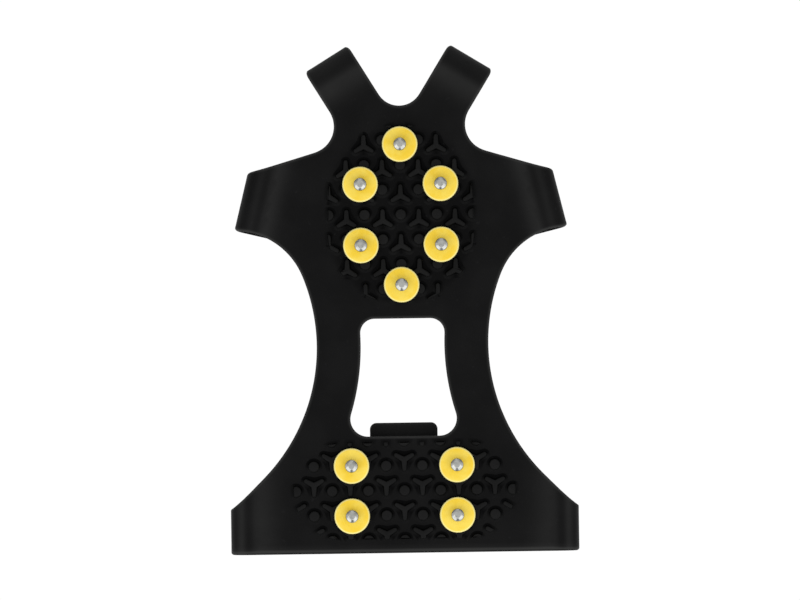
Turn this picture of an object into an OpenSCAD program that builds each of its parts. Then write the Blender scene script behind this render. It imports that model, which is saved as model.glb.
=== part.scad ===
// Pull-on ice cleat: an elastic overshoe with ten studs, lying stud side up
// with its straps folded under it. X is across, +Y is the toe, Z is up, in mm.
// The origin is on the ground below the middle of the part.

/* [Overall] */
// Length from the toe folds to the rear edge
sole_l = 215.1; // [204:0.1:226]
// Thickness of the tread plates and arch bars
plate_t = 3; // [2.4:0.1:4]
// Thickness of the straps, the saddle and the heel band
strap_t = 2.4; // [1.6:0.1:3]
// Outside radius of every folded strap
fold_r = 7; // [6:0.25:9]

/* [Toe straps] */
// Distance between the middles of the two toe folds
toe_span = 61.3; // [56:0.1:66]
// Width of a toe strap
toe_strap_w = 21.5; // [18:0.5:24]
// Angle of a toe strap out from straight ahead
toe_splay = 31.5; // [28:0.5:35]
// Length of a toe strap's lower arm
toe_arm_l = 14; // [8:0.5:16]
// Radius at the bottom of the notch between the toe straps
notch_r = 10; // [8:0.5:12]

/* [Side straps] */
// Distance between the middles of the two side folds
side_span = 135.2; // [128:0.4:142]
// How far the side folds lie ahead of the middle of the forefoot studs
side_ahead = 6.1; // [4:0.1:9]
// Width of a side strap at its fold
side_strap_w = 24.8; // [22:0.2:27]
// Angle of a side strap forward from straight across
side_sweep = 13.8; // [10:0.2:18]
// Slope of a side strap's front edge, back from straight across
side_slope = 16.5; // [13:0.5:20]
// Length of a side strap's lower arm
side_arm_l = 22; // [12:0.5:26]
// Hollow of the saddle's side edges between a toe strap and a side strap
saddle_side_in = 9; // [4:0.5:12]
// Hollow of the saddle's rear edge between the side straps
saddle_rear_in = 14; // [6:0.5:18]
// Radius between a toe strap and a side strap
crotch_r = 11.5; // [9:0.5:14]
// Radius behind a side strap
shoulder_r = 31; // [27:0.5:36]

/* [Arch] */
// Width of the sole at its narrowest
waist_w = 72.6; // [68:0.2:78]
// Radius of each side's edge ahead of the narrowest place
waist_r = 79; // [74:1:90]
// How far the narrowest place lies behind the window's front edge
waist_back = 11; // [6:0.5:18]
// Width of each bar beside the window
bar_w = 18.6; // [14:0.2:21]
// Distance from the middle of the forefoot studs to the window
window_back = 44; // [40:0.5:50]
// Radius of the window's front corners
window_front_r = 6; // [3:0.5:8]
// Radius of the window's rear corners
window_rear_r = 7.4; // [3:0.1:8]
// How far each plate reaches along the window past its corner
arch_lap = 1.2; // [0.6:0.1:3]

/* [Heel] */
// Width across the heel folds
heel_w = 147.4; // [140:0.4:152]
// Length of the heel plate from the rear edge to the window
heel_plate_l = 49.4; // [46:0.1:54]
// Length of a heel fold, forward from the rear edge
ear_l = 18; // [15:0.1:21]
// Length of the straight front edge of a heel fold
ear_edge_l = 20.2; // [14:0.1:24]
// Radius of the heel plate's rear edge
rear_edge_r = 2; // [1:0.1:2.3]
// Length of a heel ear's lower arm
ear_arm_l = 10; // [6:0.5:14]
// Width of the heel band at its middle
band_w = 45; // [40:0.5:45.6]
// Width of the heel band at its ends
band_end_w = 23; // [18:0.5:26]
// Width of the pull tab
tab_w = 28.7; // [22:0.1:34]
// Length of the pull tab
tab_l = 10; // [8:0.1:14]
// Radius of the pull tab's corners
tab_corner_r = 2.8; // [1:0.1:4]

/* [Tread] */
// Height of the lugs and of the bosses under the studs
lug_h = 1.5; // [0.8:0.1:2.5]
// Distance between lugs of a kind in one row
lug_pitch = 15.3; // [14:0.1:18]
// Distance between the rows of lugs
row_pitch = 10.5; // [9.6:0.1:13]
// Length of each arm of a star lug
star_arm_l = 4.9; // [3.6:0.1:5.2]
// Width of each arm of a star lug
star_arm_w = 1.9; // [1.4:0.1:2.4]
// Diameter of a dot lug
dot_d = 4.6; // [3.6:0.1:5]
// How far a row's stars lie behind its dots
star_back = 2.5; // [1.5:0.1:3]
// Width of the forefoot tread
fore_tread_w = 62; // [54:1:66]
// Length of the forefoot tread
fore_tread_l = 76; // [70:1:84]
// Width of the heel tread
heel_tread_w = 94; // [84:1:102]
// Length of the heel tread
heel_tread_l = 41; // [36:0.5:44]

/* [Studs] */
// Distance from the notch to the middle of the forefoot studs
ring_back = 46; // [44:0.5:52]
// Distance between the front stud and the rear stud of the forefoot
ring_l = 59.4; // [54:0.2:64]
// Distance between the left and right studs of the forefoot
ring_w = 34; // [30:0.5:40]
// Distance between the two studs on one side of the forefoot
ring_side_l = 25.8; // [20:0.2:30]
// Distance from the rear edge to the middle of the heel studs
heel_stud_in = 26.5; // [25:0.1:28]
// Distance between the heel studs across the sole
heel_stud_w = 44.6; // [36:0.2:56]
// Distance between the heel studs along the sole
heel_stud_l = 21.2; // [17:0.2:24]
// Diameter of the stud's head
head_d = 5.4; // [4.4:0.1:6.4]
// Height of the straight part of the stud's head
head_h = 3.1; // [1.6:0.1:4]
// Diameter of the stud's flat tip
tip_d = 2.8; // [1.8:0.1:3.6]
// Height of the sloping part of the stud's head
tip_h = 1.2; // [0.8:0.1:2.4]
// Diameter of the stud's shank
shank_d = 3.2; // [2.4:0.1:3.8]
// Diameter of the shank's set end
flare_d = 4.6; // [4:0.1:5.4]
// Height of the shank's set end
flare_h = 0.7; // [0.4:0.05:0.8]

/* [Washers] */
// Diameter of the grip washer
grip_d = 15; // [13:0.1:17]
// Thickness of the grip washer at its crown
grip_t = 2.2; // [1.8:0.1:3]
// Thickness of the grip washer at its rim
grip_rim_t = 1.5; // [1:0.1:1.7]
// Width and height of the chamfers on the grip washer's rim
grip_chamfer = 0.35; // [0.1:0.05:0.45]
// Width of the crown's flat ring around the stud's head
crown_margin = 0.6; // [0.3:0.1:1.5]
// How far the grip washer overhangs its rubber boss
boss_overhang = 0.5; // [0.2:0.1:1]
// Diameter of the backing washer
backing_d = 11; // [9:0.1:13]
// Thickness of the backing washer
backing_t = 1; // [0.9:0.1:1.4]

/* [Fits] */
// Clearance around the shank
shank_clear = 0.05; // [0.02:0.01:0.15]
// Clearance around the backing washer
backing_clear = 0.1; // [0.05:0.01:0.3]
// Clearance around the pull tab's rolled root
root_clear = 0.15; // [0.1:0.01:0.3]

/* [Hidden] */
$fn = 64;
arc_steps = 10;
sink = 0.2;
rubber = [0.11, 0.11, 0.115];
yellow = [0.98, 0.84, 0.27];
steel = [0.78, 0.79, 0.8];

// Heights of the stack
plate_top = 2 * fold_r;
plate_bot = plate_top - plate_t;
boss_top = plate_top + lug_h;
seat_z = boss_top + grip_t;

// Plan directions of the straps on the right side, outward and across
toe_out = [sin(toe_splay), cos(toe_splay)];
toe_across = [cos(toe_splay), -sin(toe_splay)];
side_out = [cos(side_sweep), sin(side_sweep)];
side_across = [-sin(side_sweep), cos(side_sweep)];
side_edge = [cos(side_slope), -sin(side_slope)];

// Toe fold, its crease and the notch between the straps
rear_y = -sole_l / 2;
toe_fold = [toe_span / 2, sole_l / 2 - toe_strap_w / 2 * sin(toe_splay)];
toe_crease = toe_fold - fold_r * toe_out;
toe_crease_in = toe_crease - toe_strap_w / 2 * toe_across;
toe_crease_out = toe_crease + toe_strap_w / 2 * toe_across;
notch_c = [0, toe_fold[1] + (notch_r + toe_strap_w / 2 - toe_fold[0] * toe_across[0]) / toe_out[0]];
notch_end = notch_c + notch_r * toe_across;
notch_y = notch_c[1] - notch_r;

// Places that follow from the notch and from the rear edge
ring_c = [0, notch_y - ring_back];
heel_c = [0, rear_y + heel_stud_in];
window_front = ring_c[1] - window_back;
window_rear = rear_y + heel_plate_l;

// Side fold, its corners and its crease
side_fold = [side_span / 2, ring_c[1] + side_ahead];
side_front = side_fold + side_strap_w / 2 * side_across;
side_rear = side_fold - side_strap_w / 2 * side_across;
side_crease = side_fold - fold_r * side_out;
edge_to_crease = fold_r / (side_edge * side_out);
side_crease_front = side_front - edge_to_crease * side_edge;

// Fillet between the toe strap's outer edge and the side strap's front edge
crotch_c = crossing(
    toe_crease_out + crotch_r * toe_across, toe_out,
    side_front + crotch_r * left_of(side_edge), side_edge);
crotch_toe = crotch_c - crotch_r * toe_across;
crotch_side = crotch_c - crotch_r * left_of(side_edge);

// Circle ahead of the narrowest place, and the shoulder circle that runs into it behind the side strap
waist_y = window_front - waist_back;
waist_c = [waist_w / 2 + waist_r, waist_y];
shoulder_c = tangent_centre(waist_c, waist_r - shoulder_r, side_rear, shoulder_r);
shoulder_end = toward(waist_c, shoulder_c, waist_r);
side_crease_rear = on_line(shoulder_c, shoulder_r, side_crease, side_across);

// Circle behind the narrowest place, which runs into the straight front edge of the heel fold
ear_front = [heel_w / 2, rear_y + ear_l];
spread = ear_front - [waist_w / 2, waist_y];
spread_r = (spread * spread - ear_edge_l ^ 2) / (2 * spread[0]);
spread_c = [waist_w / 2 + spread_r, waist_y];
ear_bearing = bearing(spread_c, ear_front) - atan2(ear_edge_l, spread_r);
ear_start = [cos(ear_bearing), sin(ear_bearing)];

// Window beside the arch bars
front_corner_y = window_front - window_front_r;
rear_corner_y = window_rear + window_rear_r;
front_corner = edge_at(front_corner_y, bar_w + window_front_r);
rear_corner = edge_at(rear_corner_y, bar_w + window_rear_r);
front_corner_end = toward(edge_c(front_corner_y), front_corner, edge_r(front_corner_y) + bar_w);
rear_corner_end = toward(edge_c(rear_corner_y), rear_corner, edge_r(rear_corner_y) + bar_w);
arch_front = front_corner_end[1] - arch_lap;
arch_rear = rear_corner_end[1] + arch_lap;

// Heel ears, heel band and pull tab
ear_crease_x = heel_w / 2 - fold_r;
ear_inner_x = ear_crease_x - ear_arm_l;
ear_crease_front = crossing([ear_crease_x, 0], [0, 1], ear_front, left_of(ear_start));
band_end_y = rear_y + band_end_w;
band_front = rear_y + band_w;
band_flat = tab_w / 2 + root_clear + strap_t;
band_rise = band_front - band_end_y;
band_arc_r = ((ear_inner_x - band_flat) ^ 2 + band_rise ^ 2) / (2 * band_rise);
band_arc_c = [band_flat, band_front - band_arc_r];

// Ends of the lower strap arms, where the saddle takes over
toe_arm_end = toe_crease - toe_arm_l * toe_out;
side_arm_end = side_crease - side_arm_l * side_out;
side_arm_front = side_arm_end + side_strap_w / 2 * side_across;
side_arm_rear = side_arm_end - side_strap_w / 2 * side_across;

// Stud places
fore_studs = [
    ring_c + [0, ring_l / 2],
    for (y = [1, -1], x = [1, -1]) ring_c + [x * ring_w / 2, y * ring_side_l / 2],
    ring_c - [0, ring_l / 2]
];
heel_studs = [for (y = [1, -1], x = [1, -1]) heel_c + [x * heel_stud_w / 2, y * heel_stud_l / 2]];
stud_groups = [["fore", fore_studs], ["heel", heel_studs]];
stud_pieces = ["stud", "grip_washer", "backing_washer"];

// Plan geometry helpers
function left_of(d) = [-d[1], d[0]];
function cross2(a, b) = a[0] * b[1] - a[1] * b[0];
function crossing(p, d, q, e) = p + d * cross2(q - p, e) / cross2(d, e);
function toward(p, q, r) = p + r * (q - p) / norm(q - p);
function bearing(c, p) = atan2(p[1] - c[1], p[0] - c[0]);

// Centre at distance a from p and distance b from q, on the left of the way from p to q
function tangent_centre(p, a, q, b) =
    let (d = norm(q - p), u = (q - p) / d, s = (a ^ 2 - b ^ 2 + d ^ 2) / (2 * d))
    p + s * u + sqrt(a ^ 2 - s ^ 2) * left_of(u);

// Where the line from p along the unit vector d leaves the circle round c
function on_line(c, r, p, d) =
    let (s = (c - p) * d, h = norm(p + s * d - c))
    p + (s + sqrt(r ^ 2 - h ^ 2)) * d;

// Points of the shorter arc round c from p to q
function arc(c, p, q) =
    let (a = bearing(c, p), turn = (bearing(c, q) - a + 540) % 360 - 180, r = norm(p - c))
    [for (i = [0 : arc_steps]) c + r * [cos(a + turn * i / arc_steps), sin(a + turn * i / arc_steps)]];

// Points of the arc from p to q that swells to the left by h at its middle
function bow(p, q, h) =
    let (half = norm(q - p) / 2, r = (half ^ 2 + h ^ 2) / (2 * h))
    arc((p + q) / 2 + (h - r) * left_of(q - p) / (2 * half), p, q);

// A right half outline, without points on the axis, made whole
function both_sides(half) = concat(half, [for (i = [len(half) - 1 : -1 : 0]) [-half[i][0], half[i][1]]]);
function off_axis(pts) = [for (p = pts) if (p[0] > 0.001) p];

// The sole's side edge at a place along the sole, and lines at an even distance in from it:
// circles to the heel fold, then straight
function edge_c(y) = y > waist_y ? waist_c : spread_c;
function edge_r(y) = edge_c(y)[0] - waist_w / 2;
function edge_at(y, in) =
    y > waist_y + (spread_r + in) * ear_start[1]
        ? [edge_c(y)[0] - sqrt((edge_r(y) + in) ^ 2 - (y - waist_y) ^ 2), y]
        : [spread_c[0] + (spread_r + in - (y - waist_y) * ear_start[1]) / ear_start[0], y];
function edge_run(from, to, in) = [for (i = [0 : arc_steps]) edge_at(from + (to - from) * i / arc_steps, in)];

// Outlines of the flat pieces
forefoot_half = concat(
    off_axis(arc(notch_c, [0, notch_y], notch_end)),
    [toe_crease_in, toe_crease_out],
    arc(crotch_c, crotch_toe, crotch_side),
    [side_crease_front],
    arc(shoulder_c, side_crease_rear, shoulder_end),
    edge_run(shoulder_end[1], arch_front, 0),
    [edge_at(arch_front, bar_w)],
    arc(front_corner, front_corner_end, [front_corner[0], window_front])
);
heel_half = concat(
    arc(rear_corner, [rear_corner[0], window_rear], rear_corner_end),
    [edge_at(arch_rear, bar_w)],
    edge_run(arch_rear, ear_crease_front[1], 0),
    [[ear_crease_x, rear_y]]
);
arch_outline = concat(
    edge_run(arch_front, arch_rear, 0),
    edge_run(arch_rear, arch_front, bar_w)
);
side_outline = concat(
    [side_crease_front, side_front],
    arc(shoulder_c, side_rear, side_crease_rear),
    [side_arm_rear, side_arm_front]
);
ear_outline = [
    [ear_inner_x, rear_y], [heel_w / 2, rear_y],
    ear_front, ear_crease_front, [ear_inner_x, band_end_y]
];
band_half = concat(
    [[band_flat, band_front]],
    arc(band_arc_c, [band_flat, band_front], [ear_inner_x, band_end_y]),
    [[ear_inner_x, rear_y + strap_t / 2]]
);
saddle_half = concat(
    off_axis(arc(notch_c, [0, notch_y], notch_end)),
    [toe_arm_end - toe_strap_w / 2 * toe_across],
    bow(toe_arm_end + toe_strap_w / 2 * toe_across, side_arm_front, -saddle_side_in),
    off_axis(bow(side_arm_rear, [-side_arm_rear[0], side_arm_rear[1]], -saddle_rear_in))
);

// Shapes shared by the pieces
module on_side(side) {
    if (side > 0) children();
    else mirror([1, 0, 0]) children();
}

// A strap's section: half a ring outside the crease and the lower arm inside it
module fold_section(arm_l) {
    intersection() {
        difference() {
            translate([0, fold_r]) circle(fold_r);
            translate([0, fold_r]) circle(fold_r - strap_t);
        }
        square([fold_r, plate_top]);
    }
    translate([-arm_l, 0]) square([arm_l, strap_t]);
}

module fold(crease, angle, width, arm_l) {
    translate([crease[0], crease[1], 0]) rotate([90, 0, angle])
        linear_extrude(width, center = true) fold_section(arm_l);
}

module star() {
    for (a = [0, 120, 240]) rotate(a) {
        translate([-star_arm_w / 2, 0]) square([star_arm_w, star_arm_l - star_arm_w / 2]);
        translate([0, star_arm_l - star_arm_w / 2]) circle(d = star_arm_w);
    }
}

// Rows of dots and stars with their stems ahead, cut off at a round-ended zone
module tread(zone) {
    rows = ceil(zone[1] / 2 / row_pitch);
    columns = ceil(zone[0] / lug_pitch);
    end_r = min(zone) / 2;
    intersection() {
        for (row = [-rows : rows], column = [-columns : columns])
            translate([column * lug_pitch / 2, row * row_pitch])
                if ((row + column) % 2 == 0) circle(d = dot_d);
                else translate([0, -star_back]) star();
        union() {
            square(zone[0] > zone[1] ? [zone[0] - 2 * end_r, zone[1]] : [zone[0], zone[1] - 2 * end_r],
                center = true);
            for (s = [1, -1])
                translate(s * [max(0, zone[0] / 2 - end_r), max(0, zone[1] / 2 - end_r)]) circle(end_r);
        }
    }
}

// A tread plate: flat slab, lugs, a boss under each stud, and the studs' holes
module tread_plate(outline, centre, turn, zone, studs) {
    difference() {
        union() {
            translate([0, 0, plate_bot]) linear_extrude(plate_t) polygon(outline);
            translate([centre[0], centre[1], plate_top - sink]) rotate(turn)
                linear_extrude(lug_h + sink) tread(zone);
            for (p = studs) translate([p[0], p[1], plate_top - sink])
                cylinder(d = grip_d - 2 * boss_overhang, h = lug_h + sink);
        }
        for (p = studs) translate([p[0], p[1], plate_bot]) {
            translate([0, 0, -sink]) cylinder(d = shank_d + 2 * shank_clear, h = plate_t + lug_h + 2 * sink);
            translate([0, 0, -sink]) cylinder(d = backing_d + 2 * backing_clear, h = backing_t + sink);
        }
    }
}

// The moulded rubber pieces
module forefoot_plate() {
    color(rubber) tread_plate(both_sides(forefoot_half), ring_c, 0, [fore_tread_w, fore_tread_l], fore_studs);
}

module heel_plate() {
    color(rubber) difference() {
        tread_plate(both_sides(heel_half), heel_c, 180, [heel_tread_w, heel_tread_l], heel_studs);
        translate([-heel_w / 2, rear_y, plate_top - rear_edge_r]) rear_cove(heel_w);
    }
}

// What a round of the rear edge takes off
module rear_cove(width) {
    difference() {
        translate([0, -sink, 0]) cube([width, rear_edge_r + sink, rear_edge_r + sink]);
        translate([-sink, rear_edge_r, 0]) rotate([0, 90, 0]) cylinder(r = rear_edge_r, h = width + 2 * sink);
    }
}

module arch_bar(side) {
    color(rubber) on_side(side)
        translate([0, 0, plate_bot]) linear_extrude(plate_t) polygon(arch_outline);
}

module toe_strap(side) {
    color(rubber) on_side(side) fold(toe_crease, 90 - toe_splay, toe_strap_w, toe_arm_l);
}

module side_strap(side) {
    color(rubber) on_side(side) intersection() {
        fold(side_crease, side_sweep, 2 * side_strap_w, side_arm_l);
        linear_extrude(plate_top) polygon(side_outline);
    }
}

module heel_ear(side) {
    color(rubber) on_side(side) intersection() {
        fold([ear_crease_x, rear_y], 0, heel_plate_l * 2, ear_arm_l);
        linear_extrude(plate_top) polygon(ear_outline);
    }
}

module instep_saddle() {
    color(rubber) linear_extrude(strap_t) polygon(both_sides(saddle_half));
}

// The band's rear edge is round about the line that the band swings on
module heel_band() {
    color(rubber) difference() {
        union() {
            linear_extrude(strap_t) polygon(both_sides(band_half));
            translate([-ear_inner_x, rear_y + strap_t / 2, strap_t / 2]) rotate([0, 90, 0])
                cylinder(d = strap_t, h = 2 * ear_inner_x);
        }
        tab_root(tab_w + 2 * root_clear, strap_t / 2 + root_clear);
    }
}

module tab_root(width, r) {
    translate([-width / 2, band_front, strap_t / 2]) rotate([0, 90, 0]) cylinder(r = r, h = width);
}

module pull_tab() {
    corner = [tab_w / 2 - tab_corner_r, band_front + tab_l - tab_corner_r];
    color(rubber) union() {
        translate([-tab_w / 2, band_front, 0]) cube([tab_w, tab_l - tab_corner_r, strap_t]);
        translate([-corner[0], band_front, 0]) cube([2 * corner[0], tab_l, strap_t]);
        for (s = [1, -1]) translate([s * corner[0], corner[1], 0]) cylinder(r = tab_corner_r, h = strap_t);
        tab_root(tab_w, strap_t / 2);
    }
}

// The pieces of one stud, as turned sections on the stud's own axis
module stud() {
    color(steel) rotate_extrude() polygon([
        [0, plate_bot], [flare_d / 2, plate_bot], [shank_d / 2, plate_bot + flare_h],
        [shank_d / 2, seat_z], [head_d / 2, seat_z], [head_d / 2, seat_z + head_h],
        [tip_d / 2, seat_z + head_h + tip_h], [0, seat_z + head_h + tip_h]
    ]);
}

module grip_washer() {
    bore_r = shank_d / 2 + shank_clear;
    color(yellow) rotate_extrude() polygon([
        [bore_r, boss_top], [grip_d / 2 - grip_chamfer, boss_top], [grip_d / 2, boss_top + grip_chamfer],
        [grip_d / 2, boss_top + grip_rim_t - grip_chamfer],
        [grip_d / 2 - grip_chamfer, boss_top + grip_rim_t],
        [head_d / 2 + crown_margin, seat_z], [bore_r, seat_z]
    ]);
}

module backing_washer() {
    bore_r = shank_d / 2 + shank_clear;
    color(steel) rotate_extrude() polygon([
        [flare_d / 2 + shank_clear, plate_bot], [backing_d / 2, plate_bot],
        [backing_d / 2, plate_bot + backing_t], [bore_r, plate_bot + backing_t],
        [bore_r, plate_bot + flare_h]
    ]);
}

forefoot_plate();
heel_plate();
arch_bar(-1);  // left_arch_bar
arch_bar(1);  // right_arch_bar
toe_strap(-1);  // left_toe_strap
toe_strap(1);  // right_toe_strap
side_strap(-1);  // left_side_strap
side_strap(1);  // right_side_strap
instep_saddle();
heel_ear(-1);  // left_heel_ear
heel_ear(1);  // right_heel_ear
heel_band();
pull_tab();
for (g = stud_groups, i = [1 : len(g[1])]) translate([g[1][i - 1][0], g[1][i - 1][1], 0]) {
    stud();
    grip_washer();
    backing_washer();
}
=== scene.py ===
# Pull-on ice cleat: an elastic rubber overshoe with ten studs, lying stud side up, straps folded under it
import math

import bmesh
import bpy
import numpy as np
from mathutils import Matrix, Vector
from mathutils.geometry import delaunay_2d_cdt


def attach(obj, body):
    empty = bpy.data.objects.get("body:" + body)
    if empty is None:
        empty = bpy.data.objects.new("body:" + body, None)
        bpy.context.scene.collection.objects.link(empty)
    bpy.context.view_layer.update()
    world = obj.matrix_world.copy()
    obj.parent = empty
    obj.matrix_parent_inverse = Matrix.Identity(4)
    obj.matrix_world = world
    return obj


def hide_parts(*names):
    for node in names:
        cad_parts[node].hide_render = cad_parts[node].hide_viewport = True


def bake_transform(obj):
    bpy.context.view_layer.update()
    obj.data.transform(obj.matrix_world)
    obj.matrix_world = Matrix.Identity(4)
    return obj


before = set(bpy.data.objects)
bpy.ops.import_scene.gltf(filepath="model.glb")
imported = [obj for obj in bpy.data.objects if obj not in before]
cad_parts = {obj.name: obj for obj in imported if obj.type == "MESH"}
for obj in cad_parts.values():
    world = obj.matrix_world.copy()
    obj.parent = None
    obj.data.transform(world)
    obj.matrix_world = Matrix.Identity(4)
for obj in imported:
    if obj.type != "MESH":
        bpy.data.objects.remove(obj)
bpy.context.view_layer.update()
print("frame loaded:", len(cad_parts), "nodes")

mm = 0.001  # plan sizes below are in millimetres, meshes in metres
usualStep = 0.8  # between points along an edge
joined = np.concatenate
# Numbers of points along edges and round circles
detail = {"fold": 400, "shoulder": 40, "bar": 48, "ear": 60, "pit": 32, "armTip": 7, "dot": 20, "boss": 48,
          "zone": 96, "turned": 64}


# Plan helpers: points are rows of x and y

def xy(x, y):
    return np.array([x, y])


def heading(degrees):  # unit vector, counted from +X towards +Y
    return xy(math.cos(math.radians(degrees)), math.sin(math.radians(degrees)))


def leftOf(d):
    return xy(-d[1], d[0])


def crossing(p, d, q, e):  # where the line from p along d meets the line from q along e
    gap = q - p
    return p + d * (gap[0] * e[1] - gap[1] * e[0]) / (d[0] * e[1] - d[1] * e[0])


def toward(p, q, distance):
    return p + (q - p) * distance / np.linalg.norm(q - p)


def line(p, q, step=usualStep):
    count = max(2, math.ceil(np.linalg.norm(q - p) / step) + 1)
    return p + (q - p) * np.linspace(0, 1, count)[:, None]


def arc(centre, p, q, step=usualStep):  # the shorter way round the centre from p to q
    first = math.atan2(*(p - centre)[::-1])
    turn = (math.atan2(*(q - centre)[::-1]) - first + 3 * math.pi) % (2 * math.pi) - math.pi
    radius = np.linalg.norm(p - centre)
    at = first + turn * np.linspace(0, 1, max(3, math.ceil(abs(turn) * radius / step) + 1))
    return centre + radius * np.stack([np.cos(at), np.sin(at)], 1)


def bow(p, q, rise):  # arc from p to q that swells to the left by rise at its middle
    half = np.linalg.norm(q - p) / 2
    radius = (half ** 2 + rise ** 2) / (2 * rise)
    return arc((p + q) / 2 + (rise - radius) * leftOf(q - p) / (2 * half), p, q)


def flipped(path):  # the same edge on the other side, walked the other way
    return path[::-1] * [-1, 1]


def bothHalves(half):  # a run from its right half, which starts on the centre line
    return joined([flipped(half)[:-1], half])


def lengths(rows):
    return np.linalg.norm(rows, axis=1)


def rightOf(rows):  # unit vectors square to each row, on its right
    return np.column_stack([rows[:, 1], -rows[:, 0]]) / lengths(rows)[:, None]


def runOf(path):  # way along a path at each of its points
    return joined([[0], np.cumsum(lengths(np.diff(path, axis=0)))])


def even(path, step=usualStep):  # points at even steps along a path
    run = runOf(path)
    at = np.linspace(0, run[-1], math.ceil(run[-1] / step) + 1)
    return np.stack([np.interp(at, run, path[:, 0]), np.interp(at, run, path[:, 1])], 1)


def soften(path, spread=1.2, step=usualStep):  # bell-weighted mean along a path, its two ends held
    path = even(path, step)
    reach = min(math.ceil(3 * spread / step), len(path) - 1)
    weight = np.exp(-0.5 * (np.arange(-reach, reach + 1) * step / spread) ** 2)
    weight /= weight.sum()
    padded = joined([2 * path[0] - path[reach:0:-1], path, 2 * path[-1] - path[-2:-reach - 2:-1]])
    return np.stack([np.convolve(padded[:, k], weight, "valid") for k in (0, 1)], 1)


def circle(radius, count):
    at = np.linspace(0, 2 * math.pi, count, endpoint=False)
    return radius * np.stack([np.cos(at), np.sin(at)], 1)


def smooth(t):  # 0 below 0, 1 above 1, an even bend between
    t = np.clip(t, 0, 1)
    return t * t * (3 - 2 * t)


def between(first, second, share):
    return first + (second - first) * share


def atHeight(points, height):
    return np.column_stack([points, np.broadcast_to(height, len(points))])


# The sole's plan, right side. Straps leave it along toeOut and sideOut
sole = {
    "length": 215.1, "plateTop": 14.0, "plateThick": 3.0, "strapThick": 2.4,
    "toeSpan": 61.3, "toeWidth": 21.5, "toeSplay": 31.5, "toeArm": 14.0, "notchRound": 10.0,
    "sideSpan": 135.2, "sideAhead": 6.1, "sideWidth": 24.8, "sideSweep": 13.8, "sideSlope": 16.5,
    "sideArm": 22.0, "crotchRound": 11.5, "shoulderRound": 31.0, "foldRound": 7.0,
    "waist": 72.6, "waistRound": 79.0, "waistBack": 11.0, "barWidth": 18.6, "ringBack": 46.0,
    "windowBack": 44.0, "windowFrontRound": 6.0, "windowRearRound": 7.4, "archLap": 1.2,
    "heelWidth": 147.4, "heelPlate": 49.4, "earLength": 18.0, "earEdge": 20.2, "earArm": 10.0,
    "saddleSideIn": 9.0, "saddleRearIn": 14.0, "toeZone": 15.0, "sideZone": 34.0, "earZone": 400.0,
    "foreTread": (62.0, 76.0), "heelTread": (94.0, 41.0), "heelTreadAhead": 26.5,
    "foreShade": 0.46, "heelShade": 0.07, "shadeFade": 2.0, "shadeDepth": 0.1,
    "toePinch": 0.065, "sidePinch": 0.03, "pinchLength": 2.2, "thinLength": 8.0, "markFade": 3.0,
    "edgeRound": 0.8, "innerRound": 0.5, "rearRound": 1.5, "flatRing": 0.6,
}
halfStrap = sole["strapThick"] / 2
halfToe = sole["toeWidth"] / 2
halfSide = sole["sideWidth"] / 2
halfWaist = sole["waist"] / 2
halfHeel = sole["heelWidth"] / 2
rearY = -sole["length"] / 2
toeOut = heading(90 - sole["toeSplay"])
toeAcross = -leftOf(toeOut)
sideOut = heading(sole["sideSweep"])
sideAcross = leftOf(sideOut)
sideEdge = heading(-sole["sideSlope"])

toeFold = xy(sole["toeSpan"] / 2, -rearY - halfToe * toeOut[0])
notchY = toeFold[1] + (sole["notchRound"] + halfToe - toeFold[0] * toeAcross[0]) / toeOut[0]
notchC = xy(0, notchY)
notchEnd = notchC + sole["notchRound"] * toeAcross
ringC = xy(0, notchY - sole["notchRound"] - sole["ringBack"])
heelC = xy(0, rearY + sole["heelTreadAhead"])
windowFront = ringC[1] - sole["windowBack"]
windowRear = rearY + sole["heelPlate"]

sideFold = xy(sole["sideSpan"] / 2, ringC[1] + sole["sideAhead"])
sideFront = sideFold + halfSide * sideAcross
sideRear = sideFold - halfSide * sideAcross
toeEdge = toeFold + halfToe * toeAcross
crotchC = crossing(toeEdge + sole["crotchRound"] * toeAcross, toeOut,
                   sideFront + sole["crotchRound"] * leftOf(sideEdge), sideEdge)
crotchToe = crotchC - sole["crotchRound"] * toeAcross
crotchSide = crotchC - sole["crotchRound"] * leftOf(sideEdge)

# Side edge: one circle ahead of the narrowest place, one behind it, then the heel fold's straight front edge
waistY = windowFront - sole["waistBack"]
waistC = xy(halfWaist + sole["waistRound"], waistY)
earFront = xy(halfHeel, rearY + sole["earLength"])
spread = earFront - [halfWaist, waistY]
spreadRound = (spread @ spread - sole["earEdge"] ** 2) / (2 * spread[0])
spreadC = xy(halfWaist + spreadRound, waistY)
earBearing = math.atan2(*(earFront - spreadC)[::-1]) - math.atan2(sole["earEdge"], spreadRound)
earNormal = -heading(math.degrees(earBearing))

# Shoulder circle: through the rear end of the side fold, and inside the waist circle
gap = sideRear - waistC
away = np.linalg.norm(gap)
inner = sole["waistRound"] - sole["shoulderRound"]
along = (inner ** 2 - sole["shoulderRound"] ** 2 + away ** 2) / (2 * away)
shoulderC = waistC + along * gap / away + math.sqrt(inner ** 2 - along ** 2) * leftOf(gap) / away
shoulderEnd = toward(waistC, shoulderC, sole["waistRound"])


def edgeAt(y, inset=0.0):  # the side edge at y, or a line at an even distance inside it
    y = np.atleast_1d(np.asarray(y, float))
    x0 = np.where(y > waistY, waistC[0], spreadC[0])
    curved = x0 - np.sqrt(np.maximum(0, (x0 - halfWaist + inset) ** 2 - (y - waistY) ** 2))
    straight = earFront[0] - (inset + (y - earFront[1]) * earNormal[1]) / earNormal[0]
    x = np.where(y > waistY - (spreadRound + inset) * earNormal[1], curved, straight)
    return np.stack([x, y], 1)


def cornerOf(y, roundness):  # centre of a window corner, and where it runs into the bar's inner edge
    centre = edgeAt(y, sole["barWidth"] + roundness)[0]
    ring = waistC if y > waistY else spreadC
    return centre, toward(ring, centre, ring[0] - halfWaist + sole["barWidth"])


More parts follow.
